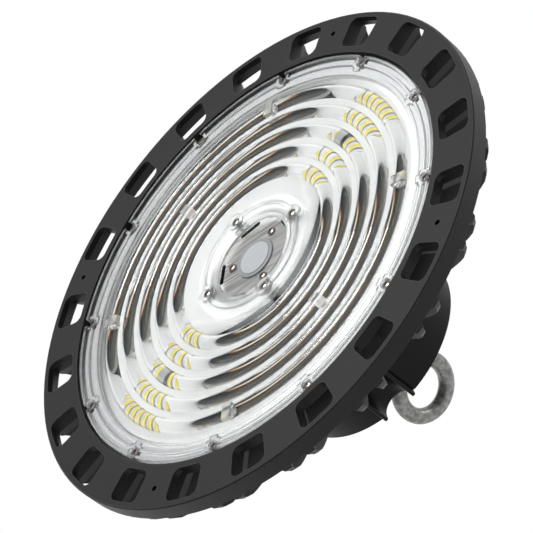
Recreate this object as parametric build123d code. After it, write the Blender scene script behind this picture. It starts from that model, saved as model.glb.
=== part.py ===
from build123d import *
from math import atan2, cos, pi, radians, sin
import os

os.makedirs("parts", exist_ok=True)

# High bay light, face down: the rim's face plane is z = 0, the axis is Z and the lifting eye points up.
# All sizes are in millimetres and all azimuths in degrees from +X.

# Lens
lens_r = 134.5
plain_front_z = 3.5
plain_back_z = 4.9

# Heat sink: rim and skirt
rim_r = 165.0
rim_plate_t = 4.0
rim_edge = 0.8
recess_r = lens_r + 2.1
skirt_top_z = 10.4
skirt_root_r = rim_r - 3.6
skirt_top_inner_r = rim_r - 1.6

# Heat sink: windows in the rim
window_count = 20
bar_pitch = 360.0 / window_count
bar_half_angle = 4.6
window_half_angle = bar_pitch / 2 - bar_half_angle
window_inner_r = recess_r + 4.0
window_outer_r = rim_r - 3.8
window_width = window_outer_r - window_inner_r
window_corner_r = min(4.75, 0.4 * window_width)

# Heat sink: pan behind the lens
flange_gasket_t = 1.0
ledge_z = plain_back_z + flange_gasket_t
floor_z = 9.4
floor_r = lens_r - 12.0
back_z = 14.4
back_r = floor_r + 1.5
shoulder_z = 6.8
well_r = 28.3
well_floor_z = 21.0
seat_width = 1.1
seat_rise = 0.5
drum_r = 61.4
hub_r = drum_r + 1.6
hub_z = 24.0
wire_hole_r = 4.5

# Heat sink: fins in pairs over the bars between the windows
fin_pairs = window_count
fin_half_spread = 2.85
fin_inner_r = hub_r + 3.5
fin_outer_r = rim_r - 1.0
fin_tip_z = 13.0
fin_round_points = [(rim_r - 3.9, 17.5), (rim_r - 8.2, 21.5), (rim_r - 13.6, 24.7)]
fin_shoulder_r = rim_r - 18.7
fin_shoulder_z = 27.4
fin_slope = 0.5
fin_foot_half = 4.0
fin_foot_z = 9.2
fin_neck_half = 1.75
fin_neck_z = 14.8
fin_crest_half = 1.1
fin_sink = 0.6

# Four small tapped holes in the rim
rim_hole_r = 1.8
rim_hole_circle_r = (window_inner_r + window_outer_r) / 2 + 1.0
rim_hole_count = 4
rim_boss_r = 4.4
rim_boss_z = 8.0

# Pan head screws: thread radius, head radius, head height
m3_r = 1.5
m3_head_r = 2.8
m3_head_h = 1.6
m4_r = 2.0
m4_head_r = 3.9
m4_head_h = 2.6
m5_r = 2.5
m5_head_r = 4.3
m5_head_h = 3.3
thread_gap = 0.05
free_gap = 0.3
tap_run_out = 0.6

# Lens: ring lenses, one over each ring of LED packages
led_counts = [52, 50, 72, 80, 108]
ring_count = len(led_counts)
ring_first_r = 57.4
ring_last_r = lens_r - 23.3
ring_pitch = (ring_last_r - ring_first_r) / (ring_count - 1)
ring_half = 4.8
ring_crest_z = 0.3
cavity_half = 3.2
cavity_crest_z = 3.9

# Lens: flange with its screw bosses
lip_inner_r = lens_r - 1.8
lip_z = 0.3
channel_inner_r = lens_r - 5.0
groove_floor_z = 3.7
ridge_inner_r = lens_r - 6.6
ridge_z = 1.2
groove_inner_r = lens_r - 9.6
step_inner_r = lens_r - 12.6
step_z = 1.7
lens_screw_count = 12
lens_screw_start = 15.0
lens_screw_circle_r = lens_r - 4.1
boss_half = 5.0
boss_inner_r = lens_r - 10.1
boss_corner_r = 2.4
notch_mouth_half = 4.0
lens_screw_end_z = 9.9

# Lens: flat pads over the board screws, as (ring number, azimuth)
pad_length = 7.6
board_screw_places = [(5, 71.5), (5, 161.5), (5, 251.5), (5, 341.5), (3, 117.0), (3, 297.0)]
board_screw_end_z = 12.8

# Lens: collar round the sensor
collar_r = 36.0
collar_z = 1.0
collar_step_r = 33.2
collar_step_z = 2.2
collar_slope_r = 29.6
eye_hole_r = 26.4
eye_hole_z = 3.4
eye_back_z = 5.4
lug_count = 4
lug_start = 45.0
lug_circle_r = 34.2
lug_r = 5.6
lug_screw_end_z = 14.0

# Gaskets
flange_gasket_inner_r = floor_r + 0.4
flange_gasket_outer_r = lens_r - 0.5
inner_gasket_width = 2.4
inner_gasket_t = 0.9
housing_gasket_t = 1.0

# LED board
board_t = 1.6
board_r = floor_r - 0.6
board_gap = 0.2
led_radial = 3.5
led_tangential = 2.8
led_h = 0.7
led_clear = 1.2
connector_ring = 3
connector_places = [27.0, 207.0]
connector_length = 8.0
connector_width = 5.0
connector_h = 2.2

# Centre plate, sensor cap and sensor module
plate_r = 29.0
plate_t = 1.5
slot_count = 5
slot_start = 36.0
slot_mid_r = 26.1
slot_length = 15.0
slot_width = 2.9
plate_screw_count = 3
plate_screw_start = 15.5
plate_screw_circle_r = 18.2
plate_post_r = 3.1
plate_screw_end_z = 17.5
cap_r = 11.4
cap_front_z = 5.7
cap_gap = 0.6
cap_wall = 1.3
cap_flange_r = 13.2
cap_flange_t = 1.0
cap_round = 0.8
module_r = 13.6
antenna_r = 6.0
antenna_h = 2.0

# Driver housing
drum_top_z = 107.2
drum_wall = 3.0
drum_roof = 4.0
channel_r = 9.6
channel_azimuth = 134.5
bead_half = 1.2
bead_rise = 2.6
bead_groove = 1.0
bead_groove_depth = 1.4
drum_boss_count = 4
drum_boss_r = 6.0
drum_boss_bite = 0.8
drum_boss_top_z = 46.0
housing_screw_end_z = 39.0
counterbore_z = 14.6
cone_foot_r = 21.0
cone_top_r = 14.0
washer_t = 2.0
washer_r = 13.5

# Lifting eye, size M10
eye_r = 5.0
eye_inner_r = 12.85
eye_section_r = 4.9
eye_azimuth = 15.0
eye_centre_z = 155.8
eye_collar_r = 12.5
eye_collar_t = 3.0
eye_collar_rise = 9.0
eye_neck_r = 8.6
eye_thread = 17.0

# LED driver
driver_length = 74.0
driver_width = 46.0
driver_height = 54.0
driver_foot_gap = 3.0
driver_corner = 4.0
ear_length = 10.0
ear_t = 3.0
ear_hole_inset = 5.0
driver_screw_depth = 8.0

# Cable gland, M16
gland_r = 8.0
gland_bore_r = 5.4
gland_circle_r = 39.0
gland_azimuth = 318.0
gland_hex = 22.0
gland_flange_t = 5.0
gland_neck_r = 7.8
gland_neck_h = 8.0
gland_nut_h = 15.0
gland_nut_lip_r = 4.6
gland_seal_r = 3.4
gland_seal_top = 12.0
gland_tail = 9.0
locknut_hex = 22.0
locknut_t = 4.0

# Sizes that follow from those above
board_z = floor_z - board_t
plate_back_z = floor_z - seat_rise
plate_front_z = plate_back_z - plate_t
seat_outer_r = well_r + seat_width
board_hole_r = seat_outer_r + board_gap
drum_foot_z = hub_z + housing_gasket_t
drum_ceiling_z = drum_top_z - drum_roof
drum_boss_circle_r = drum_r - drum_wall - drum_boss_r + drum_boss_bite
drum_boss_start = channel_azimuth + 45.0
eye_major_r = eye_inner_r + eye_section_r
eye_seat_z = eye_centre_z - eye_major_r - eye_section_r
cone_top_z = eye_seat_z - washer_t
inner_gasket_inner_r = board_hole_r + free_gap
inner_gasket_outer_r = inner_gasket_inner_r + inner_gasket_width
collar_back_z = board_z - inner_gasket_t
driver_azimuth = channel_azimuth - 90.0
driver_foot_z = hub_z + driver_foot_gap


def ring_r(number):
    return ring_first_r + ring_pitch * (number - 1)


def polar(radius, azimuth):
    return (radius * cos(radians(azimuth)), radius * sin(radians(azimuth)))


def at(radius, azimuth):
    x, y = polar(radius, azimuth)
    return Pos(x, y, 0) * Rot(0, 0, azimuth)


def around(count, radius, start=0.0):
    return [at(radius, start + 360.0 * i / count) for i in range(count)]


def turned(points):
    section = make_face(Polyline(*points, close=True))
    return revolve(Plane.XZ * section, Axis.Z)


def rod(radius, low_z, high_z):
    return Pos(0, 0, low_z) * extrude(Circle(radius), high_z - low_z)


def tube(outer_r, inner_r, low_z, high_z):
    return Pos(0, 0, low_z) * extrude(Circle(outer_r) - Circle(inner_r), high_z - low_z)


def block(x0, x1, half_width, low_z, high_z):
    return Pos((x0 + x1) / 2, 0, (low_z + high_z) / 2) * Box(x1 - x0, 2 * half_width, high_z - low_z)


def pan_screw(thread_r, head_r, head_h, seat_z, end_z):
    """A plain pan head screw that points up, with its head below seat_z."""
    front_z = seat_z - head_h
    return turned([
        (0, front_z),
        (head_r, front_z),
        (head_r, seat_z),
        (thread_r, seat_z),
        (thread_r, end_z),
        (0, end_z),
    ])


def save(shape, node):
    export_step(shape, "parts/" + node + ".step")


# Heat sink: one die casting with the pan, the windowed rim and the fins
def pan():
    return turned([
        (wire_hole_r, well_floor_z),
        (well_r, well_floor_z),
        (well_r, plate_back_z),
        (seat_outer_r, plate_back_z),
        (seat_outer_r, floor_z),
        (floor_r, floor_z),
        (floor_r, ledge_z),
        (recess_r, ledge_z),
        (recess_r, 0),
        (rim_r - rim_edge, 0),
        (rim_r, rim_edge),
        (rim_r, skirt_top_z),
        (skirt_top_inner_r, skirt_top_z),
        (skirt_root_r, rim_plate_t),
        (window_inner_r, rim_plate_t),
        (window_inner_r, shoulder_z),
        (back_r, back_z),
        (hub_r, back_z),
        (hub_r, hub_z),
        (wire_hole_r, hub_z),
    ])


def window_cutter():
    """A ring sector with rounded corners, centred on +X."""
    side = window_half_angle
    outline = make_face([
        Line(polar(window_inner_r, -side), polar(window_outer_r, -side)),
        ThreePointArc(polar(window_outer_r, -side), (window_outer_r, 0), polar(window_outer_r, side)),
        Line(polar(window_outer_r, side), polar(window_inner_r, side)),
        ThreePointArc(polar(window_inner_r, side), (window_inner_r, 0), polar(window_inner_r, -side)),
    ])
    rounded = fillet(outline.vertices(), window_corner_r)
    return Pos(0, 0, -1) * extrude(rounded, skirt_top_z + 1)


def fin():
    """One fin along +X: its outline from the side, cut to a section with a wide foot and a thin blade."""
    crest_z = fin_shoulder_z + fin_slope * (fin_shoulder_r - fin_inner_r)
    shoulder = (fin_shoulder_r, fin_shoulder_z)
    foot_z = rim_plate_t - fin_sink
    foot_r = skirt_root_r + fin_sink
    root_r = window_inner_r - fin_sink
    side = make_face([
        Polyline((fin_inner_r, crest_z), (fin_inner_r, back_z - fin_sink), (back_r, back_z - fin_sink),
                 (root_r, shoulder_z - fin_sink), (root_r, foot_z), (foot_r, foot_z),
                 (fin_outer_r, skirt_top_z - fin_sink), (fin_outer_r, fin_tip_z)),
        Polyline((fin_outer_r, fin_tip_z), *fin_round_points, shoulder),
        Line(shoulder, (fin_inner_r, crest_z)),
    ])
    half = [(fin_foot_half, 0), (fin_foot_half, fin_foot_z), (fin_neck_half, fin_neck_z),
            (fin_crest_half, crest_z + 1)]
    section = make_face(Polyline(*half, *[(-y, z) for y, z in reversed(half)], close=True))
    plate = extrude(Plane.XZ * side, 2 * fin_foot_half, both=True)
    bar = extrude(Plane.YZ.offset(fin_inner_r - 1) * section, fin_outer_r - fin_inner_r + 2)
    return plate & bar


def heat_sink():
    one_fin = fin()
    fins = []
    for i in range(fin_pairs):
        for side in (-1, 1):
            fins.append(Rot(0, 0, bar_pitch * i + side * fin_half_spread) * one_fin)
    bosses = [p * rod(rim_boss_r, rim_plate_t - fin_sink, rim_boss_z)
              for p in around(rim_hole_count, rim_hole_circle_r)]
    posts = [p * rod(plate_post_r, plate_back_z, well_floor_z + fin_sink)
             for p in around(plate_screw_count, plate_screw_circle_r, plate_screw_start)]
    body = pan() + fins + bosses + posts

    cutter = window_cutter()
    cuts = [Rot(0, 0, bar_pitch * (i + 0.5)) * cutter for i in range(window_count)]
    cuts += [p * rod(rim_hole_r, -1, rim_boss_z + 1) for p in around(rim_hole_count, rim_hole_circle_r)]
    tapped_m3 = m3_r + thread_gap
    cuts += [p * rod(tapped_m3, ledge_z - 1, lens_screw_end_z + tap_run_out)
             for p in around(lens_screw_count, lens_screw_circle_r, lens_screw_start)]
    cuts += [p * rod(tapped_m3, floor_z - 1, lug_screw_end_z + tap_run_out)
             for p in around(lug_count, lug_circle_r, lug_start)]
    cuts += [p * rod(tapped_m3, plate_back_z - 1, plate_screw_end_z + tap_run_out)
             for p in around(plate_screw_count, plate_screw_circle_r, plate_screw_start)]
    cuts += [at(ring_r(n), a) * rod(tapped_m3, floor_z - 1, board_screw_end_z + tap_run_out)
             for n, a in board_screw_places]
    for p in around(drum_boss_count, drum_boss_circle_r, drum_boss_start):
        cuts.append(p * rod(m5_r + free_gap, floor_z, hub_z + 1))
        cuts.append(p * rod(m5_head_r + free_gap, floor_z - 1, counterbore_z))
    for side in (-1, 1):
        place = Rot(0, 0, driver_azimuth) * Pos(side * (driver_length / 2 + ear_hole_inset), 0, 0)
        cuts.append(place * rod(m4_r + thread_gap, hub_z - driver_screw_depth - tap_run_out, hub_z + 1))
    return body - cuts


# Lens: one clear moulding of ring lenses, with a flange outside and a collar inside
def arch(centre_r, half, base_z, crest_z):
    """An arc over one ring, from its outer foot to its inner foot."""
    return ThreePointArc((centre_r + half, base_z), (centre_r, crest_z), (centre_r - half, base_z))


def lens_section():
    """The lens's section right of the axis: the front from the rim inwards, then the back outwards."""
    flange = Polyline(
        (lens_r, plain_back_z),
        (lens_r, lip_z + rim_edge),
        (lens_r - rim_edge, lip_z),
        (lip_inner_r, lip_z),
        (lip_inner_r, groove_floor_z),
        (channel_inner_r, groove_floor_z),
        (channel_inner_r, ridge_z),
        (ridge_inner_r, ridge_z),
        (ridge_inner_r, groove_floor_z),
        (groove_inner_r, groove_floor_z),
        (groove_inner_r, step_z),
        (step_inner_r, step_z),
        (step_inner_r, plain_front_z),
        (ring_last_r + ring_half, plain_front_z),
    )
    collar = Polyline(
        (ring_first_r - ring_half, plain_front_z),
        (collar_r, plain_front_z),
        (collar_r, collar_z),
        (collar_step_r, collar_z),
        (collar_step_r, collar_step_z),
        (collar_slope_r, collar_step_z),
        (eye_hole_r, eye_hole_z),
        (eye_hole_r, eye_back_z),
        (collar_slope_r, eye_back_z),
        (collar_slope_r, collar_back_z),
        (collar_r, collar_back_z),
        (collar_r, plain_back_z),
        (ring_first_r - cavity_half, plain_back_z),
    )
    edges = [flange, collar, Line((ring_last_r + cavity_half, plain_back_z), (lens_r, plain_back_z))]
    for number in range(1, ring_count + 1):
        edges.append(arch(ring_r(number), ring_half, plain_front_z, ring_crest_z))
        edges.append(arch(ring_r(number), cavity_half, plain_back_z, cavity_crest_z))
    for number in range(1, ring_count):
        for half, level in ((ring_half, plain_front_z), (cavity_half, plain_back_z)):
            edges.append(Line((ring_r(number) + half, level), (ring_r(number + 1) - half, level)))
    return make_face(edges)


def lens_boss():
    sole = Pos((boss_inner_r + lens_r) / 2, 0) * RectangleRounded(lens_r - boss_inner_r + 4, 2 * boss_half,
                                                                 boss_corner_r)
    return Pos(0, 0, ridge_z) * extrude(sole & Circle(lens_r - rim_edge), plain_back_z - ridge_z)


def notch_plan(free_r):
    """A round hole about a flange screw with a mouth that widens to the lens's edge."""
    free_thread = m3_r + free_gap
    mouth = make_face(Polyline((0, -free_thread), (lens_r - lens_screw_circle_r + 1, -notch_mouth_half),
                               (lens_r - lens_screw_circle_r + 1, notch_mouth_half), (0, free_thread),
                               close=True))
    return Circle(free_r) + mouth


def lens_notch():
    """Pocket for the screw's head, open to the lens's edge, and the slot for its thread."""
    pocket = notch_plan(m3_head_r + free_gap)
    slot = notch_plan(m3_r + free_gap)
    return (Pos(0, 0, -1) * extrude(pocket, groove_floor_z + 1)
            + Pos(0, 0, groove_floor_z - 1) * extrude(slot, plain_back_z - groove_floor_z + 2))


def flange_gasket():
    """The flat ring between the lens's flange and the ledge, cut out round the screws like the lens."""
    ring = tube(flange_gasket_outer_r, flange_gasket_inner_r, plain_back_z, ledge_z)
    notch = Pos(0, 0, plain_back_z - 1) * extrude(notch_plan(m3_head_r + free_gap), flange_gasket_t + 2)
    return ring - [p * notch for p in around(lens_screw_count, lens_screw_circle_r, lens_screw_start)]


def lens():
    body = revolve(Plane.XZ * lens_section(), Axis.Z)
    body += [Rot(0, 0, lens_screw_start + 360.0 * i / lens_screw_count) * lens_boss()
             for i in range(lens_screw_count)]
    pads = []
    pockets = []
    for number, azimuth in board_screw_places:
        r0 = ring_r(number)
        turn = Rot(0, 0, azimuth)
        pockets.append(turn * block(r0 - ring_half, r0 + ring_half, pad_length / 2, 0, plain_front_z))
        pads.append(turn * block(r0 - ring_half, r0 + ring_half, pad_length / 2 + 1,
                                 plain_front_z, plain_back_z))
    body += pads
    lug_screw_seat = collar_z + m3_head_h
    gasket_room = rod(inner_gasket_outer_r + free_gap, collar_back_z, board_z + 1)
    gasket_room += rod(collar_slope_r, eye_back_z, board_z + 1) + rod(eye_hole_r, 0, board_z)
    lug = rod(lug_r, collar_z, board_z)
    body += [p * lug - gasket_room for p in around(lug_count, lug_circle_r, lug_start)]
    cuts = pockets
    cuts += [p * lens_notch() for p in around(lens_screw_count, lens_screw_circle_r, lens_screw_start)]
    for p in around(lug_count, lug_circle_r, lug_start):
        cuts.append(p * rod(m3_head_r + free_gap, 0, lug_screw_seat))
        cuts.append(p * rod(m3_r + free_gap, 0, board_z + 1))
    return body - cuts


# LED board, its packages and its connectors
def led_board():
    board = tube(board_r, board_hole_r, board_z, floor_z)
    holes = [at(ring_r(n), a) * rod(m3_r + free_gap, board_z - 1, floor_z + 1) for n, a in board_screw_places]
    holes += [p * rod(m3_r + free_gap, board_z - 1, floor_z + 1)
              for p in around(lug_count, lug_circle_r, lug_start)]
    return board - holes


def is_free(number, azimuth):
    """True where no board screw and no connector stands in a package's way on its ring."""
    half = led_tangential / 2 + led_clear
    taken = [(a, m3_head_r) for n, a in board_screw_places if n == number]
    if number == connector_ring:
        taken += [(a, connector_length / 2) for a in connector_places]
    for place, reach in taken:
        apart = radians(azimuth - place)
        nearest = abs(atan2(sin(apart), cos(apart)))
        if nearest * ring_r(number) < half + reach:
            return False
    return True


def led_ring(number):
    package = Pos(0, 0, board_z - led_h / 2) * Box(led_radial, led_tangential, led_h)
    count = led_counts[number - 1]
    places = [360.0 * (i + 0.5) / count for i in range(count)]
    return Compound(children=[at(ring_r(number), a) * package for a in places if is_free(number, a)])


def board_connectors():
    shell = Pos(0, 0, board_z - connector_h / 2) * Box(connector_width, connector_length, connector_h)
    mouth = Pos(0, connector_length / 2, board_z - connector_h / 2) * Box(connector_width / 2, 3, connector_h / 2)
    return Compound(children=[at(ring_r(connector_ring), a) * (shell - mouth) for a in connector_places])


# Centre plate with its slots, and the sensor behind it
def centre_plate():
    plate = tube(plate_r, cap_r + cap_gap, plate_front_z, plate_back_z)
    slot = Pos(0, 0, plate_front_z - 1) * extrude(Rot(0, 0, 90) * SlotOverall(slot_length, slot_width), plate_t + 2)
    cuts = [p * slot for p in around(slot_count, slot_mid_r, slot_start)]
    cuts += [p * rod(m3_r + free_gap, plate_front_z - 1, plate_back_z + 1)
             for p in around(plate_screw_count, plate_screw_circle_r, plate_screw_start)]
    return plate - cuts


def sensor_cap():
    flange_back_z = plate_back_z + cap_flange_t
    return turned([
        (0, cap_front_z),
        (cap_r - cap_round, cap_front_z),
        (cap_r, cap_front_z + cap_round),
        (cap_r, plate_back_z),
        (cap_flange_r, plate_back_z),
        (cap_flange_r, flange_back_z),
        (cap_r - cap_wall, flange_back_z),
        (cap_r - cap_wall, cap_front_z + cap_wall),
        (0, cap_front_z + cap_wall),
    ])


def sensor_module():
    base_z = plate_back_z + cap_flange_t
    return rod(module_r, base_z, well_floor_z) + rod(antenna_r, base_z - antenna_h, base_z + 1)


# Driver housing: a drum with a half-round channel down its side
def drum_outline(inset=0.0):
    """The drum's plan, drawn inset by a wall."""
    centre = polar(drum_r, channel_azimuth)
    return Circle(drum_r - inset) - Pos(*centre) * Circle(channel_r + inset)


def bead_outline():
    """A rounded bead on each edge of the channel's mouth, with the narrow groove beside it."""
    mouth_y = channel_r
    foot_x = drum_r - drum_wall / 2
    tip_x = drum_r + bead_rise - bead_half
    beads = Sketch()
    grooves = Sketch()
    for side in (-1, 1):
        y = side * (mouth_y + bead_half)
        beads += Pos((foot_x + tip_x) / 2, y) * Rectangle(tip_x - foot_x, 2 * bead_half)
        beads += Pos(tip_x, y) * Circle(bead_half)
        gap_y = side * (mouth_y + 2 * bead_half + bead_groove / 2)
        grooves += Pos(drum_r - bead_groove_depth / 2, gap_y) * Rectangle(bead_groove_depth + 1, bead_groove)
    turn = Rot(0, 0, channel_azimuth)
    return turn * beads, turn * grooves


def driver_housing():
    beads, grooves = bead_outline()
    outline = drum_outline() - grooves + beads
    body = Pos(0, 0, drum_foot_z) * extrude(outline, drum_top_z - drum_foot_z)
    body -= Pos(0, 0, drum_foot_z - 1) * extrude(drum_outline(drum_wall), drum_ceiling_z - drum_foot_z + 1)
    boss = rod(drum_boss_r, hub_z, drum_boss_top_z)
    body += [p * boss & rod(drum_r - drum_wall / 2, hub_z, drum_boss_top_z)
             for p in around(drum_boss_count, drum_boss_circle_r, drum_boss_start)]
    body += turned([(0, drum_ceiling_z), (cone_foot_r, drum_ceiling_z), (cone_foot_r, drum_top_z),
                    (cone_top_r, cone_top_z), (0, cone_top_z)])
    cuts = [p * rod(m5_r + thread_gap, hub_z - 1, housing_screw_end_z + 1)
            for p in around(drum_boss_count, drum_boss_circle_r, drum_boss_start)]
    thread_end_z = eye_seat_z - eye_thread
    cuts.append(rod(eye_r + thread_gap, thread_end_z - tap_run_out, cone_top_z + 1))
    cuts.append(at(gland_circle_r, gland_azimuth) * rod(gland_r + thread_gap, drum_ceiling_z - 1, drum_top_z + 1))
    return body - cuts


def housing_gasket():
    plan = drum_outline() - drum_outline(drum_wall)
    for p in around(drum_boss_count, drum_boss_circle_r, drum_boss_start):
        plan -= p * Circle(drum_boss_r + free_gap)
    return Pos(0, 0, hub_z) * extrude(plan, housing_gasket_t)


# Lifting eye and its washer
def eye_bolt():
    ring = Pos(0, 0, eye_centre_z) * Rot(90, 0, 0) * Torus(eye_major_r, eye_section_r)
    collar = turned([
        (0, eye_seat_z),
        (eye_collar_r, eye_seat_z),
        (eye_collar_r, eye_seat_z + eye_collar_t),
        (eye_neck_r, eye_seat_z + eye_collar_rise),
        (0, eye_seat_z + eye_collar_rise),
    ])
    window_of_eye = Pos(0, 0, eye_centre_z) * Rot(90, 0, 0) * Cylinder(eye_inner_r + 0.2, 4 * eye_section_r)
    thread = rod(eye_r, eye_seat_z - eye_thread, eye_seat_z + 1)
    return Rot(0, 0, eye_azimuth) * (ring + (collar - window_of_eye) + thread)


def eye_bolt_washer():
    return tube(washer_r, eye_r + free_gap, cone_top_z, eye_seat_z)


# LED driver: a potted case on two ears
def led_driver():
    top_z = driver_foot_z + driver_height
    case = Pos(0, 0, driver_foot_z) * extrude(RectangleRounded(driver_length, driver_width, driver_corner),
                                             top_z - driver_foot_z)
    ear_reach = driver_length / 2 + ear_length
    ears = block(-ear_reach, ear_reach, ear_length / 2, hub_z, hub_z + ear_t)
    body = case + ears
    for side in (-1, 1):
        body -= Pos(side * (driver_length / 2 + ear_hole_inset), 0, 0) * rod(m4_r + free_gap, hub_z - 1,
                                                                            hub_z + ear_t + 1)
    return Rot(0, 0, driver_azimuth) * body


def driver_screws():
    seat_z = hub_z + ear_t
    screw = pan_screw(m4_r, m4_head_r, m4_head_h, 0, ear_t + driver_screw_depth)
    flipped = Pos(0, 0, seat_z) * Rot(180, 0, 0) * screw
    reach = driver_length / 2 + ear_hole_inset
    return Compound(children=[Rot(0, 0, driver_azimuth) * Pos(side * reach, 0, 0) * flipped for side in (-1, 1)])


# Cable gland on the roof of the drum
def hex_bar(across, low_z, high_z):
    return Pos(0, 0, low_z) * extrude(RegularPolygon(across / 2, 6, major_radius=False), high_z - low_z)


def gland_pieces():
    flange_top = drum_top_z + gland_flange_t
    neck_top = flange_top + gland_neck_h
    nut_foot = flange_top + free_gap
    nut_top = nut_foot + gland_nut_h
    bore = rod(gland_bore_r, drum_ceiling_z - gland_tail, nut_top + 1)
    body = hex_bar(gland_hex, drum_top_z, flange_top)
    body += rod(gland_r, drum_ceiling_z - gland_tail + drum_roof, drum_top_z)
    body += rod(gland_neck_r, flange_top, neck_top)
    body -= bore
    seal_top = flange_top + gland_seal_top
    seal = tube(gland_bore_r, gland_seal_r, neck_top - gland_neck_h, seal_top)
    nut_room = rod(gland_neck_r + thread_gap, nut_foot - 1, neck_top + free_gap)
    nut_room += rod(gland_bore_r + free_gap, nut_foot - 1, seal_top + thread_gap)
    nut_room += rod(gland_nut_lip_r, nut_foot - 1, nut_top + 1)
    nut = hex_bar(gland_hex, nut_foot, nut_foot + 0.55 * gland_nut_h)
    nut += turned([(0, nut_foot), (gland_hex / 2, nut_foot), (gland_hex / 2, nut_foot + 0.6 * gland_nut_h),
                   (0.8 * gland_hex / 2, nut_top - 1), (0.7 * gland_hex / 2, nut_top), (0, nut_top)])
    nut -= nut_room
    locknut = hex_bar(locknut_hex, drum_ceiling_z - locknut_t, drum_ceiling_z)
    locknut -= rod(gland_r + thread_gap, drum_ceiling_z - locknut_t - 1, drum_ceiling_z + 1)
    place = at(gland_circle_r, gland_azimuth)
    return {"gland_body": place * body, "gland_seal": place * seal, "gland_nut": place * nut,
            "gland_locknut": place * locknut}


def screws(places, *sizes):
    return Compound(children=[p * pan_screw(*sizes) for p in places])


# Write every piece
save(heat_sink(), "heat_sink")
save(lens(), "lens")
save(led_board(), "led_board")
for number in range(1, ring_count + 1):
    save(led_ring(number), "led_ring_" + str(number))
save(board_connectors(), "board_connectors")
save(centre_plate(), "centre_plate")
save(sensor_cap(), "sensor_cap")
save(sensor_module(), "sensor_module")
save(driver_housing(), "driver_housing")
save(housing_gasket(), "housing_gasket")
save(eye_bolt(), "eye_bolt")
save(eye_bolt_washer(), "eye_bolt_washer")
save(led_driver(), "led_driver")
save(driver_screws(), "driver_screws")
for node, piece in gland_pieces().items():
    save(piece, node)

save(flange_gasket(), "lens_outer_gasket")
save(tube(inner_gasket_outer_r, inner_gasket_inner_r, collar_back_z, board_z), "lens_inner_gasket")

save(screws(around(lens_screw_count, lens_screw_circle_r, lens_screw_start),
            m3_r, m3_head_r, m3_head_h, groove_floor_z, lens_screw_end_z), "lens_outer_screws")
save(screws(around(lug_count, lug_circle_r, lug_start),
            m3_r, m3_head_r, m3_head_h, collar_z + m3_head_h, lug_screw_end_z), "lens_inner_screws")
save(screws([at(ring_r(n), a) for n, a in board_screw_places],
            m3_r, m3_head_r, m3_head_h, board_z, board_screw_end_z), "board_screws")
save(screws(around(plate_screw_count, plate_screw_circle_r, plate_screw_start),
            m3_r, m3_head_r, m3_head_h, plate_front_z, plate_screw_end_z), "centre_plate_screws")
save(screws(around(drum_boss_count, drum_boss_circle_r, drum_boss_start),
            m5_r, m5_head_r, m5_head_h, counterbore_z, housing_screw_end_z), "housing_screws")
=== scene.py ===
from math import atan2, cos, pi, radians, sin

import bmesh
import bpy
from mathutils import Matrix, Vector


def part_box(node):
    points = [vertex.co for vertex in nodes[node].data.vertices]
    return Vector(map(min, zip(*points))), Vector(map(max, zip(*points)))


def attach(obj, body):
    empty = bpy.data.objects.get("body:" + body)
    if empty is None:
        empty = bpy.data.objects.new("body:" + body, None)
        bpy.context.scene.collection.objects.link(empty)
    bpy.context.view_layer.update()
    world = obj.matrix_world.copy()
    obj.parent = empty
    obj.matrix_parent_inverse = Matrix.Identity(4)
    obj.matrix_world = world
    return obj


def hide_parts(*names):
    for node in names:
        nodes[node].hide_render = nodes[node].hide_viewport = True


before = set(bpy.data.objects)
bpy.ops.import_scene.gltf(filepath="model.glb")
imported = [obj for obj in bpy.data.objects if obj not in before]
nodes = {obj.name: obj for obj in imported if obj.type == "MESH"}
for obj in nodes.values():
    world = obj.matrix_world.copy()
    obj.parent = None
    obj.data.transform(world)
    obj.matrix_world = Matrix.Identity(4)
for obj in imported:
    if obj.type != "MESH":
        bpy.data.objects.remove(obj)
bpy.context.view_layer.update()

mm = 0.001
scene = bpy.context.scene


# Camera: below the hanging light, looking up into its lens. It stands far off with a long focal length, and
# is rolled so that the lifting eye points to the lower right.
camera_side = Vector((-0.4083528, 0.74201093, -0.5316651)).normalized()
camera_distance = 1.524
camera_aim = Vector((-0.0033, 0.0061, 0.0119))
camera_roll = 127.57
focal_length, sensor_width = 181.2, 36.0

camera_data = bpy.data.cameras.new("photo_camera")
camera_data.lens = focal_length
camera_data.sensor_width = sensor_width
camera = bpy.data.objects.new("photo_camera", camera_data)
scene.collection.objects.link(camera)
camera.location = camera_aim + camera_side * camera_distance
camera.rotation_mode = "QUATERNION"
unrolled = (-camera_side).to_track_quat("-Z", "Y").to_matrix()
camera.rotation_quaternion = (unrolled @ Matrix.Rotation(radians(camera_roll), 3, "Z")).to_quaternion()
scene.camera = camera
scene.view_settings.view_transform = "Standard"


# Studio: a white surround, a pale floor far below the hanging light, and two soft lamps. Rays off metal and
# rays through the lens see surrounds of their own, which go dark towards the floor as black cards make them.
def shader_tree(owner):
    """Switches on the shader nodes of a material or world, and empties them."""
    owner.use_nodes = True
    tree = owner.node_tree
    tree.nodes.clear()
    return tree


def add(tree, kind, **settings):
    """A new node. Each setting is a property of the node, or else the value of its socket of that name."""
    node = tree.nodes.new(kind)
    for key, value in settings.items():
        if hasattr(node, key):
            setattr(node, key, value)
        else:
            node.inputs[key].default_value = value
    return node


def feed(tree, socket, value):
    """Gives a socket a link from another socket, or a fixed value."""
    if isinstance(value, bpy.types.NodeSocket):
        tree.links.new(value, socket)
    else:
        socket.default_value = value


def blend(tree, mask, first, second):
    """The first colour where the mask is 0, and the second where it is 1."""
    mix = add(tree, "ShaderNodeMix", data_type="RGBA")
    feed(tree, mix.inputs["Factor"], mask)
    feed(tree, mix.inputs[6], first)
    feed(tree, mix.inputs[7], second)
    return mix.outputs[2]


def show(tree, shader, kind="ShaderNodeOutputMaterial"):
    """Joins a shader to its tree's output."""
    tree.links.new(shader.outputs[0], add(tree, kind).inputs["Surface"])


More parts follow.
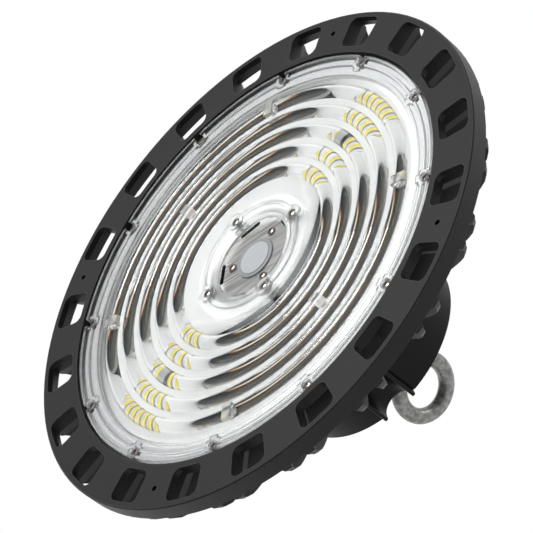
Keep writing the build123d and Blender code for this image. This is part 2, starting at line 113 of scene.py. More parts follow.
def surround_ramp(tree, depth, stops):
    """The studio's shade from the horizon, at 0, to straight below the light, at 1."""
    ramp = add(tree, "ShaderNodeValToRGB")
    elements = ramp.color_ramp.elements
    while len(elements) < len(stops):
        elements.new(0.5)
    for element, (position, colour) in zip(elements, stops):
        element.position = position
        element.color = colour
    tree.links.new(depth, ramp.inputs["Fac"])
    return ramp.outputs["Color"]


# The narrow blue and orange stops give the ring lenses their faint coloured lines.
white = (1.0, 1.0, 1.0, 1.0)
dim_fill = (0.16, 0.16, 0.16, 1.0)
lens_surround = [
    (0.05, white), (0.09, (0.25, 0.5, 0.9, 1)), (0.14, (0.03, 0.07, 0.3, 1)), (0.19, (0.75, 0.4, 0.2, 1)),
    (0.24, white), (0.33, white), (0.37, (1.0, 0.75, 0.45, 1)), (0.4, (0.4, 0.2, 0.09, 1)),
    (0.43, (0.015, 0.018, 0.022, 1)), (0.5, (0.03, 0.036, 0.045, 1)), (0.57, (0.115, 0.11, 0.105, 1)),
    (0.74, (0.035, 0.032, 0.032, 1))]
metal_surround = [(0.2, white), (0.45, (0.12, 0.12, 0.12, 1)), (0.9, (0.22, 0.22, 0.22, 1))]

world = bpy.data.worlds.new("studio")
scene.world = world
tree = shader_tree(world)
ray = add(tree, "ShaderNodeLightPath")
downward = add(tree, "ShaderNodeVectorMath", operation="DOT_PRODUCT")
downward.inputs[1].default_value = (0, 0, -1)
tree.links.new(add(tree, "ShaderNodeTexCoord").outputs["Generated"], downward.inputs[0])
through_glass = surround_ramp(tree, downward.outputs["Value"], lens_surround)
in_metal = surround_ramp(tree, downward.outputs["Value"], metal_surround)
shade = blend(tree, ray.outputs["Is Glossy Ray"], dim_fill, in_metal)
shade = blend(tree, ray.outputs["Is Transmission Ray"], shade, through_glass)
shade = blend(tree, ray.outputs["Is Camera Ray"], shade, white)
surround = add(tree, "ShaderNodeBackground")
tree.links.new(shade, surround.inputs["Color"])
show(tree, surround, "ShaderNodeOutputWorld")

# Only the camera sees the floor's own glow, so the floor looks pale and lights nothing. It isn't sampled as a
# lamp either, so that the lamps keep their samples.
floor_half, floor_z = 9.0, -3.4
floor_colour, floor_glow = (0.82, 0.82, 0.81, 1), (0.78, 0.78, 0.77, 1)
floor_mesh = bpy.data.meshes.new("floor")
floor_corners = [(x * floor_half, y * floor_half, floor_z) for x, y in ((-1, -1), (1, -1), (1, 1), (-1, 1))]
floor_mesh.from_pydata(floor_corners, [], [(0, 1, 2, 3)])
floor = bpy.data.objects.new("floor", floor_mesh)
scene.collection.objects.link(floor)
floor_paint = bpy.data.materials.new("floor_paint")
tree = shader_tree(floor_paint)
shader = add(tree, "ShaderNodeBsdfPrincipled", Roughness=0.8)
shader.inputs["Base Color"].default_value = floor_colour
shader.inputs["Emission Color"].default_value = floor_glow
tree.links.new(add(tree, "ShaderNodeLightPath").outputs["Is Camera Ray"], shader.inputs["Emission Strength"])
show(tree, shader)
floor_paint.cycles.emission_sampling = "NONE"
floor_mesh.materials.append(floor_paint)
floor.visible_glossy = False
floor.visible_transmission = False


def soft_lamp(name, position, size, power):
    """A round soft lamp that faces the middle of the light. The lens doesn't show it."""
    data = bpy.data.lights.new(name, "AREA")
    data.shape = "DISK"
    data.size = size
    data.energy = power
    lamp = bpy.data.objects.new(name, data)
    lamp.location = position
    lamp.rotation_mode = "QUATERNION"
    lamp.rotation_quaternion = (-Vector(position)).to_track_quat("-Z", "Y")
    lamp.visible_transmission = False
    scene.collection.objects.link(lamp)


soft_lamp("key_lamp", position=(0.6, -0.7, -2.0), size=0.9, power=28)
soft_lamp("eye_lamp", position=(1.5, 0.9, 0.3), size=0.6, power=5)


# Heat sink: one aluminium die casting in matt black powder coat. The coat has a fine grain, and a painted
# highlight along its edges. The solid from model.glb is the piece itself, so it only takes its finish here.
def new_group(name, inputs, outputs):
    """A shader node group. Each input has its first value beside its name, each output its kind of socket."""
    group = bpy.data.node_groups.new(name, "ShaderNodeTree")
    for label, value in inputs.items():
        kind = "NodeSocketColor" if isinstance(value, tuple) else "NodeSocketFloat"
        group.interface.new_socket(label, in_out="INPUT", socket_type=kind).default_value = value
    for label, kind in outputs.items():
        group.interface.new_socket(label, in_out="OUTPUT", socket_type=kind)
    return group, group.nodes.new("NodeGroupInput"), group.nodes.new("NodeGroupOutput")


def remap(tree, source, low, high, from_low=0.0, from_high=1.0):
    """Carries a value's range from_low to from_high over to low to high, and holds it at both ends."""
    node = add(tree, "ShaderNodeMapRange")
    node.inputs["From Min"].default_value = from_low
    node.inputs["From Max"].default_value = from_high
    feed(tree, node.inputs["To Min"], low)
    feed(tree, node.inputs["To Max"], high)
    tree.links.new(source, node.inputs["Value"])
    return node.outputs["Result"]


def noise(tree, vector, scale, detail=3.0):
    """A field of soft noise between about 0.3 and 0.7."""
    node = add(tree, "ShaderNodeTexNoise", Detail=detail)
    feed(tree, node.inputs["Scale"], scale)
    tree.links.new(vector, node.inputs["Vector"])
    return node.outputs["Fac"]


def relief(tree, height, distance, strength, under=None):
    """A normal that follows a height, laid over another normal where one is given."""
    bump = add(tree, "ShaderNodeBump", Distance=distance)
    feed(tree, bump.inputs["Strength"], strength)
    tree.links.new(height, bump.inputs["Height"])
    if under:
        tree.links.new(under, bump.inputs["Normal"])
    return bump.outputs["Normal"]


# Surface grain: a fine grain with slow drifts of shade and gloss, for coated, moulded and plated surfaces.
drift_scale = 24.0
drift_low, drift_high = 0.3, 0.7
grain_detail = 2.0
grain_height = 0.1 * mm
grain_group, grain_in, grain_out = new_group(
    "surface_grain",
    {"Colour": (0.5, 0.5, 0.5, 1.0), "Drift": 0.15, "Gloss Low": 0.4, "Gloss High": 0.5,
     "Grain Scale": 1500.0, "Grain Depth": 0.05},
    {"Colour": "NodeSocketColor", "Roughness": "NodeSocketFloat", "Normal": "NodeSocketVector"})
tree = grain_group
place = add(tree, "ShaderNodeTexCoord").outputs["Object"]
slow = noise(tree, place, drift_scale)
fine = noise(tree, place, grain_in.outputs["Grain Scale"], grain_detail)
darkest = add(tree, "ShaderNodeMath", operation="SUBTRACT")
darkest.inputs[0].default_value = 1.0
tree.links.new(grain_in.outputs["Drift"], darkest.inputs[1])
tinted = add(tree, "ShaderNodeMix", data_type="RGBA", blend_type="MULTIPLY", Factor=1.0)
tree.links.new(grain_in.outputs["Colour"], tinted.inputs[6])
tree.links.new(remap(tree, slow, darkest.outputs[0], 1.0, drift_low, drift_high), tinted.inputs[7])
glossiest, dullest = grain_in.outputs["Gloss Low"], grain_in.outputs["Gloss High"]
gloss_drift = remap(tree, slow, glossiest, dullest, drift_low, drift_high)
grain_normal = relief(tree, fine, grain_height, grain_in.outputs["Grain Depth"])
tree.links.new(tinted.outputs[2], grain_out.inputs["Colour"])
tree.links.new(gloss_drift, grain_out.inputs["Roughness"])
tree.links.new(grain_normal, grain_out.inputs["Normal"])


def grained(name, colour, drift=0.12, gloss=(0.4, 0.5), grain=1500.0, depth=0.3, **settings):
    """A material of the surface grain group and a Principled shader with its own fixed settings."""
    material = bpy.data.materials.new(name)
    tree = shader_tree(material)
    shader = add(tree, "ShaderNodeBsdfPrincipled")
    for label, value in settings.items():
        shader.inputs[label.replace("_", " ")].default_value = value
    group = add(tree, "ShaderNodeGroup", node_tree=grain_group)
    values = {"Colour": (*colour, 1.0), "Drift": drift, "Gloss Low": gloss[0], "Gloss High": gloss[1],
              "Grain Scale": grain, "Grain Depth": depth}
    for label, value in values.items():
        group.inputs[label].default_value = value
    for output, socket in (("Colour", "Base Color"), ("Roughness", "Roughness"), ("Normal", "Normal")):
        tree.links.new(group.outputs[output], shader.inputs[socket])
    show(tree, shader)
    return material


def principled(material):
    """A grained material's shader."""
    return next(node for node in material.node_tree.nodes if node.type == "BSDF_PRINCIPLED")


# Painted edge highlight: a coat is painted paler within a small radius of its edges, where a rounded edge
# would catch the light.
full_highlight_at, no_highlight_at = 0.93, 0.995
edge_highlight_group, edge_highlight_in, edge_highlight_out = new_group(
    "painted_edge_highlight", {"Coat": (0.03, 0.03, 0.03, 1.0), "Highlight": (0.12, 0.12, 0.12, 1.0), "Radius": 0.5 * mm},
    {"Colour": "NodeSocketColor"})
tree = edge_highlight_group
rounded = add(tree, "ShaderNodeBevel", samples=6)
tree.links.new(edge_highlight_in.outputs["Radius"], rounded.inputs["Radius"])
agree = add(tree, "ShaderNodeVectorMath", operation="DOT_PRODUCT")
tree.links.new(rounded.outputs["Normal"], agree.inputs[0])
tree.links.new(add(tree, "ShaderNodeNewGeometry").outputs["Normal"], agree.inputs[1])
# Painted highlight mask: 1 at the edges, where the rounded normal turns away from the surface's own.
highlight_mask = remap(tree, agree.outputs["Value"], 1.0, 0.0, full_highlight_at, no_highlight_at)
highlighted = blend(tree, highlight_mask, edge_highlight_in.outputs["Coat"], edge_highlight_in.outputs["Highlight"])
tree.links.new(highlighted, edge_highlight_out.inputs["Colour"])


def paint_edge_highlight(material, colour, radius):
    """Sets the painted edge highlight group between a grained material's coat and its shader."""
    tree = material.node_tree
    base = principled(material).inputs["Base Color"]
    highlight_node = add(tree, "ShaderNodeGroup", node_tree=edge_highlight_group)
    highlight_node.inputs["Highlight"].default_value = (*colour, 1.0)
    highlight_node.inputs["Radius"].default_value = radius
    tree.links.new(base.links[0].from_socket, highlight_node.inputs["Coat"])
    tree.links.new(highlight_node.outputs["Colour"], base)


def finish_node(name, material):
    """Gives a solid from model.glb its finish."""
    piece = nodes[name]
    piece.data.materials.clear()
    piece.data.materials.append(material)


powder_coat = grained("black_powder_coat", (0.034, 0.0325, 0.0325), drift=0.1, gloss=(0.44, 0.54),
                      grain=950.0, depth=1.0, Specular_IOR_Level=0.25)
# Painted highlight along the heat sink's edges.
paint_edge_highlight(powder_coat, colour=(0.12, 0.12, 0.12), radius=0.6 * mm)
finish_node("heat_sink", powder_coat)


# LED board: a ring of aluminium-core circuit board under white solder mask, screwed down in the casting's
# well. The wires from the driver end in two grey nylon connectors, soldered on its third ring.
board_white = grained("white_solder_mask", (0.79, 0.79, 0.785), drift=0.03, gloss=(0.3, 0.42), grain=700.0,
                      depth=0.12)
finish_node("led_board", board_white)
connector_grey = grained("grey_nylon", (0.4, 0.4, 0.4), gloss=(0.35, 0.5))
finish_node("board_connectors", connector_grey)


# LED packages: each a white moulded frame round a yellow phosphor window, soldered in five rings. The places
# come from the solids in model.glb, so every package stands where its solid is.
led_frame_white = grained("led_frame_white", (0.88, 0.88, 0.87), drift=0.02, gloss=(0.3, 0.4))
led_phosphor = grained("yellow_phosphor", (1.0, 0.83, 0.12), drift=0.06, gloss=(0.25, 0.35), grain=2500.0)
frame_radial, frame_tangential = 3.5 * mm, 3.4 * mm
window_radial, window_tangential, window_sink = 3.1 * mm, 3.0 * mm, 0.12 * mm


def new_piece(name, mesh, *materials):
    """A mesh as an object in the scene, with its materials."""
    piece = bpy.data.objects.new(name, mesh)
    scene.collection.objects.link(piece)
    for material in materials:
        mesh.materials.append(material)
    return piece


def smooth(mesh, crease):
    """Shades a mesh smooth, apart from edges sharper than the crease angle."""
    mesh.shade_smooth()
    mesh.set_sharp_from_angle(angle=radians(crease))


def mesh_from(bm, name, crease=32.0):
    """Turns a bmesh into a mesh with its normals outwards, and shades it."""
    bmesh.ops.recalc_face_normals(bm, faces=bm.faces)
    mesh = bpy.data.meshes.new(name)
    bm.to_mesh(mesh)
    bm.free()
    smooth(mesh, crease)
    return mesh


def solid_centres(node):
    """The middle of every separate solid in a node, in order of azimuth. Joined vertices make one solid, and
    vertices at the same micrometre are joined."""
    micrometres = 1e6
    mesh = nodes[node].data
    parents = list(range(len(mesh.vertices)))

    def root(i):
        while parents[i] != i:
            parents[i] = parents[parents[i]]
            i = parents[i]
        return i

    first_at = {}
    for vertex in mesh.vertices:
        spot = tuple(round(c * micrometres) for c in vertex.co)
        parents[root(vertex.index)] = root(first_at.setdefault(spot, vertex.index))
    for edge in mesh.edges:
        parents[root(edge.vertices[0])] = root(edge.vertices[1])
    solids = {}
    for vertex in mesh.vertices:
        solids.setdefault(root(vertex.index), []).append(vertex.co)
    centres = []
    for points in solids.values():
        low = [min(p[i] for p in points) for i in range(3)]
        high = [max(p[i] for p in points) for i in range(3)]
        centres.append(Vector([(a + b) / 2 for a, b in zip(low, high)]))
    return sorted(centres, key=lambda c: atan2(c.y, c.x))


def led_package(bm, centre, front_z, back_z):
    """One package: a box with a narrow rim at the front, round a window that is sunk a little behind it."""
    turn = Matrix.Rotation(atan2(centre.y, centre.x), 4, "Z")
    ring_r = Vector((centre.x, centre.y)).length

    def loop(radial, tangential, z):
        corners = ((-radial, -tangential), (radial, -tangential), (radial, tangential), (-radial, tangential))
        return [bm.verts.new(turn @ Vector((ring_r + x / 2, y / 2, z))) for x, y in corners]

    loops = [loop(frame_radial, frame_tangential, back_z), loop(frame_radial, frame_tangential, front_z),
             loop(window_radial, window_tangential, front_z),
             loop(window_radial, window_tangential, front_z + window_sink)]
    bm.faces.new(loops[0])
    for a, b in zip(loops, loops[1:]):
        for i in range(4):
            bm.faces.new((a[i], a[(i + 1) % 4], b[(i + 1) % 4], b[i]))
    bm.faces.new(loops[-1][::-1]).material_index = 1


for ring in range(1, 6):
    node = f"led_ring_{ring}"
    low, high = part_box(node)
    bm = bmesh.new()
    for centre in solid_centres(node):
        led_package(bm, centre, low.z, high.z)
    piece = new_piece(f"led_packages_{ring}", mesh_from(bm, node + "_dressed"), led_frame_white, led_phosphor)
    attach(piece, "root")
    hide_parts(node)


# Screws: bright stainless pan heads with a cross recess, all of one pattern, with a plain rod for the thread.
# Each group but the driver's replaces its plain solids, and every screw is left at a turn of its own.
screw_steel = grained("bright_stainless", (0.6, 0.55, 0.5), drift=0.1, gloss=(0.16, 0.3), grain=900.0,
                      depth=0.1, Metallic=1.0)
crown_steps, crown_fullness, crown_edge = 6, 0.8, 0.45
head_segments, head_crease = 24, 30.0
recess_length, recess_width, recess_depth = 1.25, 0.3, 0.62
screw_turn = 2.4
on_axis = 1e-7
m3 = {"thread_r": 1.5 * mm, "head_r": 2.8 * mm, "head_h": 1.6 * mm}
m5 = {"thread_r": 2.5 * mm, "head_r": 4.3 * mm, "head_h": 3.3 * mm}


def lathe(bm, profile, segments, closed=True):
    """Turns a list of (radius, z) about the Z axis. A point on the axis becomes one vertex."""
    rings = []
    for radius, z in profile:
        if radius < on_axis:
            rings.append([bm.verts.new((0, 0, z))])
        else:
            angles = [2 * pi * i / segments for i in range(segments)]
            rings.append([bm.verts.new((radius * cos(angle), radius * sin(angle), z)) for angle in angles])
    pairs = list(zip(rings, rings[1:] + rings[:1])) if closed else list(zip(rings, rings[1:]))
    for a, b in pairs:
        if len(a) == 1 and len(b) == 1:
            continue
        for i in range(segments):
            j = (i + 1) % segments
            corners = [a[i % len(a)], a[j % len(a)], b[j % len(b)], b[i % len(b)]]
            bm.faces.new(list(dict.fromkeys(corners)))


def cut_with(piece, cutter, operation="DIFFERENCE"):
    """Applies one boolean to a piece and deletes the cutter."""
    modifier = piece.modifiers.new("cut", "BOOLEAN")
    modifier.operation = operation
    modifier.solver = "MANIFOLD"
    modifier.object = cutter
    graph = bpy.context.evaluated_depsgraph_get()
    mesh = bpy.data.meshes.new_from_object(piece.evaluated_get(graph))
    piece.modifiers.clear()
    old = piece.data
    mesh.name = old.name
    piece.data = mesh
    bpy.data.meshes.remove(old)
    bpy.data.meshes.remove(cutter.data)


def box_into(bm, centre, size, turn=Matrix()):
    """A box in metres, turned about the origin after it is placed."""
    made = bmesh.ops.create_cube(bm, size=1.0)["verts"]
    place = turn @ Matrix.Translation(centre) @ Matrix.Diagonal((*size, 1.0))
    bmesh.ops.transform(bm, matrix=place, verts=made)


def screw_mesh(name, thread_r, head_r, head_h, length):
    """One pan head screw with its seat at z = 0, its head below and its thread above."""
    crown = [(head_r * sin(pi / 2 * i / crown_steps) ** crown_fullness,
              -head_h * (crown_edge + (1 - crown_edge) * cos(pi / 2 * i / crown_steps)))
             for i in range(crown_steps + 1)]
    rod = [(head_r, 0), (thread_r, 0), (thread_r, length), (0, length)]
    bm = bmesh.new()
    lathe(bm, crown + rod, head_segments, closed=False)
    piece = new_piece(name, mesh_from(bm, name))
    slot = (recess_width * head_r, recess_length * head_r)
    for across, along in (slot, slot[::-1]):
        bm = bmesh.new()
        box_into(bm, Vector((0, 0, -head_h)), (across, along, 2 * recess_depth * head_h))
        cut_with(piece, new_piece("recess", mesh_from(bm, "recess")))
    mesh = piece.data
    bpy.data.objects.remove(piece)
    smooth(mesh, head_crease)
    return mesh


def screws(node, name, thread_r, head_r, head_h):
    """One dressed screw for every screw of a node, at the same place and seat."""
    low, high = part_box(node)
    seat_z = low.z + head_h
    pattern = screw_mesh(name + "_pattern", thread_r, head_r, head_h, high.z - seat_z)
    bm = bmesh.new()
    for number, centre in enumerate(solid_centres(node)):
        first = len(bm.verts)
        bm.from_mesh(pattern)
        bm.verts.ensure_lookup_table()
        turn = Matrix.Rotation(screw_turn * number, 4, "Z")
        place = Matrix.Translation((centre.x, centre.y, seat_z)) @ turn
        bmesh.ops.transform(bm, matrix=place, verts=bm.verts[first:])
    bpy.data.meshes.remove(pattern)
    piece = new_piece(name, mesh_from(bm, name), screw_steel)
    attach(piece, "root")
    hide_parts(node)


screws("board_screws", "board_pan_heads", **m3)


# Gaskets: silicone rings. The two under the lens are pale, and show through its flange and collar. Those
# under the driver housing and in the cable gland are mid grey.
pale_silicone = grained("pale_silicone", (0.27, 0.275, 0.285), drift=0.06, gloss=(0.5, 0.65))
grey_silicone = grained("grey_silicone", (0.22, 0.22, 0.22), gloss=(0.5, 0.65))
for node in ("lens_outer_gasket", "lens_inner_gasket"):
    finish_node(node, pale_silicone)
for node in ("housing_gasket", "gland_seal"):
    finish_node(node, grey_silicone)


# Centre plate: a punched aluminium disc with five slots, held by three screws. It is brushed straight across,
# and the brushing gives it its fine lines of light and dark.
brush_angle = -63.5
brush_stretch = (45.0, 1500.0, 45.0)
brush_detail = 4.0
brushed_dark, brushed_light = (0.24, 0.24, 0.24, 1), (0.6, 0.6, 0.59, 1)
dark_at, light_at = 0.36, 0.64
polish, matt = 0.34, 0.5
plate_metal = bpy.data.materials.new("brushed_aluminium")
tree = shader_tree(plate_metal)
across = add(tree, "ShaderNodeMapping")
across.inputs["Rotation"].default_value = (0, 0, radians(brush_angle))
tree.links.new(add(tree, "ShaderNodeTexCoord").outputs["Object"], across.inputs["Vector"])
stretched = add(tree, "ShaderNodeMapping")
stretched.inputs["Scale"].default_value = brush_stretch
tree.links.new(across.outputs[0], stretched.inputs["Vector"])
hairline = noise(tree, stretched.outputs[0], 1.0, brush_detail)
bright_lines = remap(tree, hairline, 0.0, 1.0, dark_at, light_at)
shader = add(tree, "ShaderNodeBsdfPrincipled", Metallic=0.85)
tree.links.new(blend(tree, bright_lines, brushed_dark, brushed_light), shader.inputs["Base Color"])
tree.links.new(remap(tree, hairline, polish, matt), shader.inputs["Roughness"])
tree.links.new(relief(tree, hairline, distance=0.02 * mm, strength=0.6), shader.inputs["Normal"])
show(tree, shader)
finish_node("centre_plate", plate_metal)
screws("centre_plate_screws", "centre_plate_pan_heads", **m3)


# Sensor: a moulded cap on the axis, with a grey bezel round a frosted window that is slightly crowned. The
# black sensor module stands behind it.
frosted = grained("frosted_cap", (0.85, 0.885, 0.91), drift=0.04, gloss=(0.35, 0.45), grain=1200.0, depth=0.1)
bezel = grained("grey_bezel", (0.5, 0.52, 0.53), drift=0.05, gloss=(0.4, 0.5), grain=1200.0, depth=0.15)
cap_low, cap_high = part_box("sensor_cap")
cap_r, cap_front, cap_back = cap_high.x, cap_low.z, cap_high.z
bezel_width, bezel_step, cap_segments = 2.4 * mm, 0.55 * mm, 96
window_r = cap_r - bezel_width
cap_profile = [
    (cap_r, cap_back), (cap_r, cap_front + 2 * bezel_step),
    (cap_r - 0.4 * bezel_step, cap_front + 1.3 * bezel_step),
    (cap_r - 1.2 * bezel_step, cap_front + bezel_step),
    (window_r + 0.3 * mm, cap_front + bezel_step), (window_r, cap_front + 1.6 * bezel_step),
    (window_r - 0.2 * mm, cap_front + 0.5 * bezel_step), (0.8 * window_r, cap_front + 0.15 * bezel_step),
    (0.4 * window_r, cap_front + 0.03 * bezel_step), (0, cap_front), (0, cap_back)]
bm = bmesh.new()
lathe(bm, cap_profile, cap_segments, closed=False)
for face in bm.faces:
    middle = face.calc_center_median()
    on_bezel = middle.xy.length > window_r or middle.z > cap_front + 2 * bezel_step
    face.material_index = 1 if on_bezel else 0
cap = new_piece("sensor_window", mesh_from(bm, "sensor_window"), frosted, bezel)
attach(cap, "root")
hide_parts("sensor_cap")
module_black = grained("module_black", (0.03, 0.03, 0.03))
finish_node("sensor_module", module_black)


# Lens: one clear polycarbonate moulding. Five ring lenses stand over the LED rings, with half-round channels
# behind them; the flange has twelve notched screw bosses, and the collar in the middle has four screw lugs.
# The sizes of its profile are in millimetres, as (radius, z).
lens_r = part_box("lens")[1].x / mm
lens_segments = 288
plain_front, plain_back = 3.5, 5.5
flange_inner_r, flange_back = 122.1, 4.87
ring_half, ring_crest, ring_steps = 4.8, 0.7, 28
hollow_half, hollow_crest, hollow_steps = 3.2, 4.6, 20
ring_radii = [57.4 + 13.45 * number for number in range(5)]
flange_front = [(lens_r, 0.3), (132.7, 0.3), (132.7, 3.0), (129.8, 3.0), (129.8, 1.4), (127.9, 1.4),
                (127.9, 2.9), (124.9, 2.9), (124.9, 2.3), (121.9, 2.3), (121.9, plain_front)]
flange_rounding, collar_rounding = 0.35, 0.4
eye_r, plate_room_r, gasket_room_r, collar_r = 26.4, 29.6, 32.4, 36.0
plate_room_z, gasket_room_z, room_end = 5.4, 6.9, 9.0
collar_front = [(collar_r, plain_front), (collar_r, 1.0), (33.2, 1.0), (33.2, 2.2), (plate_room_r, 2.2),
                (eye_r, 3.4)]
collar_back = [(eye_r, plate_room_z), (plate_room_r, plate_room_z), (plate_room_r, 6.88), (collar_r, 6.88),
               (collar_r, plain_back)]


def ring_arc(centre, half, foot, crest, steps):
    """A circular arc from its outer foot over its crest to its inner foot."""
    rise = foot - crest
    radius = (half ** 2 + rise ** 2) / (2 * rise)
    reach = atan2(half, radius - rise)
    return [(centre + radius * sin(reach * (1 - 2 * i / steps)),
             crest + radius - radius * cos(reach * (1 - 2 * i / steps))) for i in range(steps + 1)]


def soften(profile, radius, steps=3, side_share=0.45):
    """Rounds the sharp corners of an open profile of (radius, z) points, by at most a share of each side."""
    points = [profile[0]]
    for before, corner, after in zip(profile, profile[1:], profile[2:]):
        a, c, b = Vector(before), Vector(corner), Vector(after)
        reach = min(radius, side_share * (a - c).length, side_share * (b - c).length)
        start = c + (a - c).normalized() * reach
        end = c + (b - c).normalized() * reach
        for i in range(steps + 1):
            t = i / steps
            points.append(tuple((1 - t) ** 2 * start + 2 * t * (1 - t) * c + t ** 2 * end))
    return points + [profile[-1]]


front = soften(flange_front, flange_rounding)
back = []
for radius in reversed(ring_radii):
    front += ring_arc(radius, ring_half, plain_front, ring_crest, ring_steps)
    back += ring_arc(radius, hollow_half, plain_back, hollow_crest, hollow_steps)
lens_profile = (front + soften(collar_front + collar_back, collar_rounding) + back[::-1]
                + [(flange_inner_r, plain_back), (flange_inner_r, flange_back), (lens_r, flange_back)])
bm = bmesh.new()
lathe(bm, [(radius * mm, z * mm) for radius, z in lens_profile], lens_segments)
lens = new_piece("clear_lens", mesh_from(bm, "clear_lens"))

# The bosses, pads and lugs are joined to the turned moulding, and the rooms, pockets and notches are cut out
# of it. Their sizes are in millimetres too.
screw_azimuths, screw_circle = [15.0 + 30.0 * number for number in range(12)], 130.4
lug_azimuths, lug_circle = [45.0 + 90.0 * number for number in range(4)], 34.2
pad_places = [(5, 71.5), (5, 161.5), (5, 251.5), (5, 341.5), (3, 117.0), (3, 297.0)]
boss_front, boss_radii, boss_half = 1.2, (126.6, 134.2), 5.0
boss_neck_radii, boss_neck_half = (124.4, 127.0), 2.6
boss_end_circle, boss_end_r = 126.8, 2.4
pad_half, pad_front = 3.2, 0.45
lug_r, lug_front, lug_back = 5.6, 1.0, 6.87
lug_foot_front, lug_foot_back = 6.5, 7.75
pocket_r, boss_pocket_floor, lug_pocket_floor = 3.1, 3.7, 2.6
shank_r, mouth_half = 1.8, 2.8
sunk = 0.01
before_lens, behind_flange = -1.0, 6.0
post_segments, disc_segments = 48, 180
lens_crease = 34.0


def cylinder_into(bm, centre, radius, low, high, segments):
    """An upright cylinder. The centre is (x, y) and every size is in millimetres."""
    made = bmesh.ops.create_cone(bm, cap_ends=True, segments=segments, radius1=radius * mm,
                                 radius2=radius * mm, depth=(high - low) * mm)["verts"]
    place = Vector((centre[0], centre[1], (low + high) / 2)) * mm
    bmesh.ops.translate(bm, vec=place, verts=made)


def block_into(bm, azimuth, radii, half_width, low, high):
    """A block across the given radii at an azimuth. Every size is in millimetres."""
    size = ((radii[1] - radii[0]) * mm, 2 * half_width * mm, (high - low) * mm)
    centre = Vector(((radii[0] + radii[1]) / 2, 0, (low + high) / 2)) * mm
    box_into(bm, centre, size, Matrix.Rotation(radians(azimuth), 4, "Z"))


def posts(azimuths, circle, radius, low, high):
    """A bmesh of one upright cylinder at each azimuth of a circle."""
    bm = bmesh.new()
    for azimuth in azimuths:
        centre = (circle * cos(radians(azimuth)), circle * sin(radians(azimuth)))
        cylinder_into(bm, centre, radius, low, high, post_segments)
    return bm


def blocks(azimuths, radii, half_width, low, high):
    """A bmesh of one block at each azimuth."""
    bm = bmesh.new()
    for azimuth in azimuths:
        block_into(bm, azimuth, radii, half_width, low, high)
    return bm


def disc(radius, low, high):
    """A bmesh of one cylinder on the axis."""
    bm = bmesh.new()
    cylinder_into(bm, (0, 0), radius, low, high, disc_segments)
    return bm


def pads():
    """A bmesh of the six flat pads, each across its ring lens."""
    bm = bmesh.new()
    for ring, azimuth in pad_places:
        radii = (ring_radii[ring - 1] - ring_half, ring_radii[ring - 1] + ring_half)
        block_into(bm, azimuth, radii, pad_half, pad_front, plain_back - sunk)
    return bm


def notch_mouths():
    """A bmesh of the twelve notches, which widen from the screws to the lens's edge."""
    bm = bmesh.new()
    for azimuth in screw_azimuths:
        turn = Matrix.Rotation(radians(azimuth), 4, "Z")
        corners = [(screw_circle, -shank_r), (lens_r + 1, -mouth_half), (lens_r + 1, mouth_half),
                   (screw_circle, shank_r)]
        rings = [[bm.verts.new(turn @ (Vector((x, y, z)) * mm)) for x, y in corners]
                 for z in (before_lens, behind_flange)]
        bm.faces.new(rings[0])
        bm.faces.new(rings[1])
        for i in range(4):
            j = (i + 1) % 4
            bm.faces.new((rings[0][i], rings[0][j], rings[1][j], rings[1][i]))
    return bm


def change(piece, operation, *shapes):
    """One boolean for each bmesh. The shapes of one bmesh don't overlap."""
    for bm in shapes:
        cut_with(piece, new_piece("tool", mesh_from(bm, "tool")), operation)


change(lens, "UNION",
       blocks(screw_azimuths, boss_radii, boss_half, boss_front, flange_back - sunk),
       blocks(screw_azimuths, boss_neck_radii, boss_neck_half, boss_front, flange_back - sunk),
       posts(screw_azimuths, boss_end_circle, boss_end_r, boss_front, flange_back - sunk),
       pads(),
       posts(lug_azimuths, lug_circle, lug_r, lug_front, lug_back),
       posts(lug_azimuths, lug_circle, lug_r, lug_foot_front, lug_foot_back))
change(lens, "DIFFERENCE",
       disc(gasket_room_r, gasket_room_z, room_end),
       disc(plate_room_r, plate_room_z, room_end),
       disc(eye_r, before_lens, room_end),
       posts(lug_azimuths, lug_circle, pocket_r, before_lens, lug_pocket_floor),
       posts(lug_azimuths, lug_circle, shank_r, before_lens, room_end),
       posts(screw_azimuths, screw_circle, pocket_r, before_lens, boss_pocket_floor),
       posts(screw_azimuths, screw_circle, shank_r, before_lens, behind_flange),
       notch_mouths())
smooth(lens.data, lens_crease)

# Moulding finish: faint waves all over, and a roughness that is nought on the ring lenses and rises to satin
# on the flange and on the collar.
flange_starts, flange_full = 116.5 * mm, 118.5 * mm
collar_full, collar_ends = 40.0 * mm, 42.0 * mm
wave_scale, wave_detail = 60.0, 2.0
moulding_group, moulding_in, moulding_out = new_group(
    "moulding_finish", {"Flange Satin": 0.3, "Collar Satin": 0.3},
    {"Roughness": "NodeSocketFloat", "Normal": "NodeSocketVector"})
tree = moulding_group
place = add(tree, "ShaderNodeTexCoord").outputs["Object"]
flatten = add(tree, "ShaderNodeVectorMath", operation="MULTIPLY")
flatten.inputs[1].default_value = (1, 1, 0)
tree.links.new(place, flatten.inputs[0])
reach = add(tree, "ShaderNodeVectorMath", operation="LENGTH")
tree.links.new(flatten.outputs["Vector"], reach.inputs[0])
from_axis = reach.outputs["Value"]
outwards = remap(tree, from_axis, 0.0, moulding_in.outputs["Flange Satin"], flange_starts, flange_full)
inwards = remap(tree, from_axis, moulding_in.outputs["Collar Satin"], 0.0, collar_full, collar_ends)
rough = add(tree, "ShaderNodeMath", operation="ADD")
tree.links.new(outwards, rough.inputs[0])
tree.links.new(inwards, rough.inputs[1])
waves = relief(tree, noise(tree, place, wave_scale, wave_detail), distance=0.02 * mm, strength=0.15)
tree.links.new(rough.outputs[0], moulding_out.inputs["Roughness"])
tree.links.new(waves, moulding_out.inputs["Normal"])


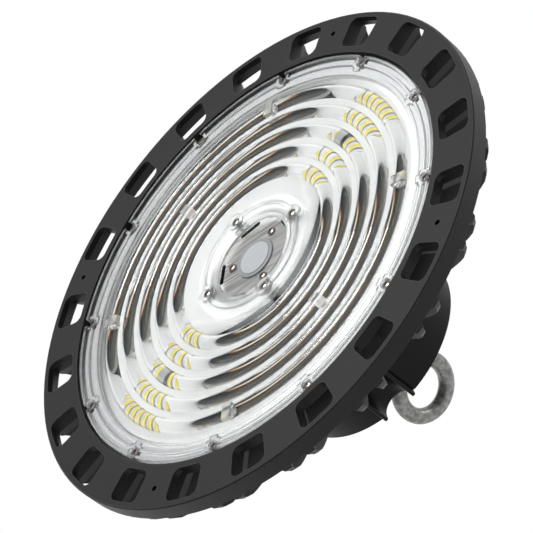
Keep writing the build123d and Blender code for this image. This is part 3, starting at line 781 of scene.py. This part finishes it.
def clear_moulding(name, satin=None, matt=0.0):
    """Clear plastic with the moulding finish: satin at the flange and at the collar, or else matt all over.
    Shadow rays pass straight through it, so that the lamps reach the board."""
    material = bpy.data.materials.new(name)
    tree = shader_tree(material)
    finish = add(tree, "ShaderNodeGroup", node_tree=moulding_group)
    glass = add(tree, "ShaderNodeBsdfGlass", Color=(0.965, 0.967, 0.967, 1), IOR=1.585, Roughness=matt)
    tree.links.new(finish.outputs["Normal"], glass.inputs["Normal"])
    if satin:
        finish.inputs["Flange Satin"].default_value = satin[0]
        finish.inputs["Collar Satin"].default_value = satin[1]
        tree.links.new(finish.outputs["Roughness"], glass.inputs["Roughness"])
    shadow = add(tree, "ShaderNodeBsdfTransparent", Color=(0.88, 0.9, 0.9, 1))
    by_ray = add(tree, "ShaderNodeMixShader")
    tree.links.new(add(tree, "ShaderNodeLightPath").outputs["Is Shadow Ray"], by_ray.inputs[0])
    tree.links.new(glass.outputs[0], by_ray.inputs[1])
    tree.links.new(shadow.outputs[0], by_ray.inputs[2])
    show(tree, by_ray)
    return material


clear_plastic = clear_moulding("clear_polycarbonate", satin=(0.27, 0.33))
pad_plastic = clear_moulding("matt_polycarbonate", matt=0.4)
lens.data.materials.clear()
lens.data.materials.append(clear_plastic)
lens.data.materials.append(pad_plastic)
pad_margin = 0.02
for face in lens.data.polygons:
    for ring, azimuth in pad_places:
        spot = Matrix.Rotation(radians(-azimuth), 4, "Z") @ face.center / mm
        off_ring = abs(spot.x - ring_radii[ring - 1])
        on_pad = off_ring < ring_half + pad_margin and abs(spot.y) < pad_half + pad_margin
        if on_pad and spot.z < plain_front:
            face.material_index = 1
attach(lens, "root")
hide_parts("lens")
screws("lens_outer_screws", "lens_rim_pan_heads", **m3)
screws("lens_inner_screws", "lens_collar_pan_heads", **m3)


# Driver housing: the drum behind the fins with its channel and cone, in a finer black coat than the heat
# sink's. Four screws hold it on the heat sink, and the potted driver is screwed down inside it.
drum_coat = grained("black_drum_coat", (0.009, 0.0085, 0.0085), drift=0.1, gloss=(0.34, 0.44), grain=1300.0,
                    depth=0.25, Specular_IOR_Level=0.14)
# Painted highlight along the drum's edges.
paint_edge_highlight(drum_coat, colour=(0.05, 0.05, 0.05), radius=0.5 * mm)
finish_node("driver_housing", drum_coat)
screws("housing_screws", "housing_pan_heads", **m5)
driver_case = grained("potted_driver_case", (0.12, 0.12, 0.13))
finish_node("led_driver", driver_case)
finish_node("driver_screws", screw_steel)


# Lifting eye: forged steel, zinc plated, on a washer. The plating is dull in patches, and follows the small
# dents of the forging under it.
dull_patch, patch_from, patch_full = (0.25, 0.25, 0.24, 1.0), 0.4, 0.62
dent_scale, dent_detail = 320.0, 5.0
plated = grained("plated_forging", (0.52, 0.52, 0.5), drift=0.2, gloss=(0.34, 0.46), grain=900.0, depth=0.6,
                 Metallic=0.45)
tree = plated.node_tree
base = principled(plated).inputs["Base Color"]
normal = principled(plated).inputs["Normal"]
dents = noise(tree, add(tree, "ShaderNodeTexCoord").outputs["Object"], dent_scale, dent_detail)
brightness = remap(tree, dents, 0.0, 1.0, patch_from, patch_full)
dented = relief(tree, dents, distance=0.35 * mm, strength=0.6, under=normal.links[0].from_socket)
tree.links.new(blend(tree, brightness, dull_patch, base.links[0].from_socket), base)
tree.links.new(dented, normal)
finish_node("eye_bolt", plated)
finish_node("eye_bolt_washer", plated)


# Cable gland: moulded black nylon, on the drum's roof. A locknut holds its body from inside, and the outer
# nut closes the silicone seal.
black_nylon = grained("black_nylon", (0.03, 0.03, 0.03), gloss=(0.35, 0.5))
for node in ("gland_body", "gland_nut", "gland_locknut"):
    finish_node(node, black_nylon)
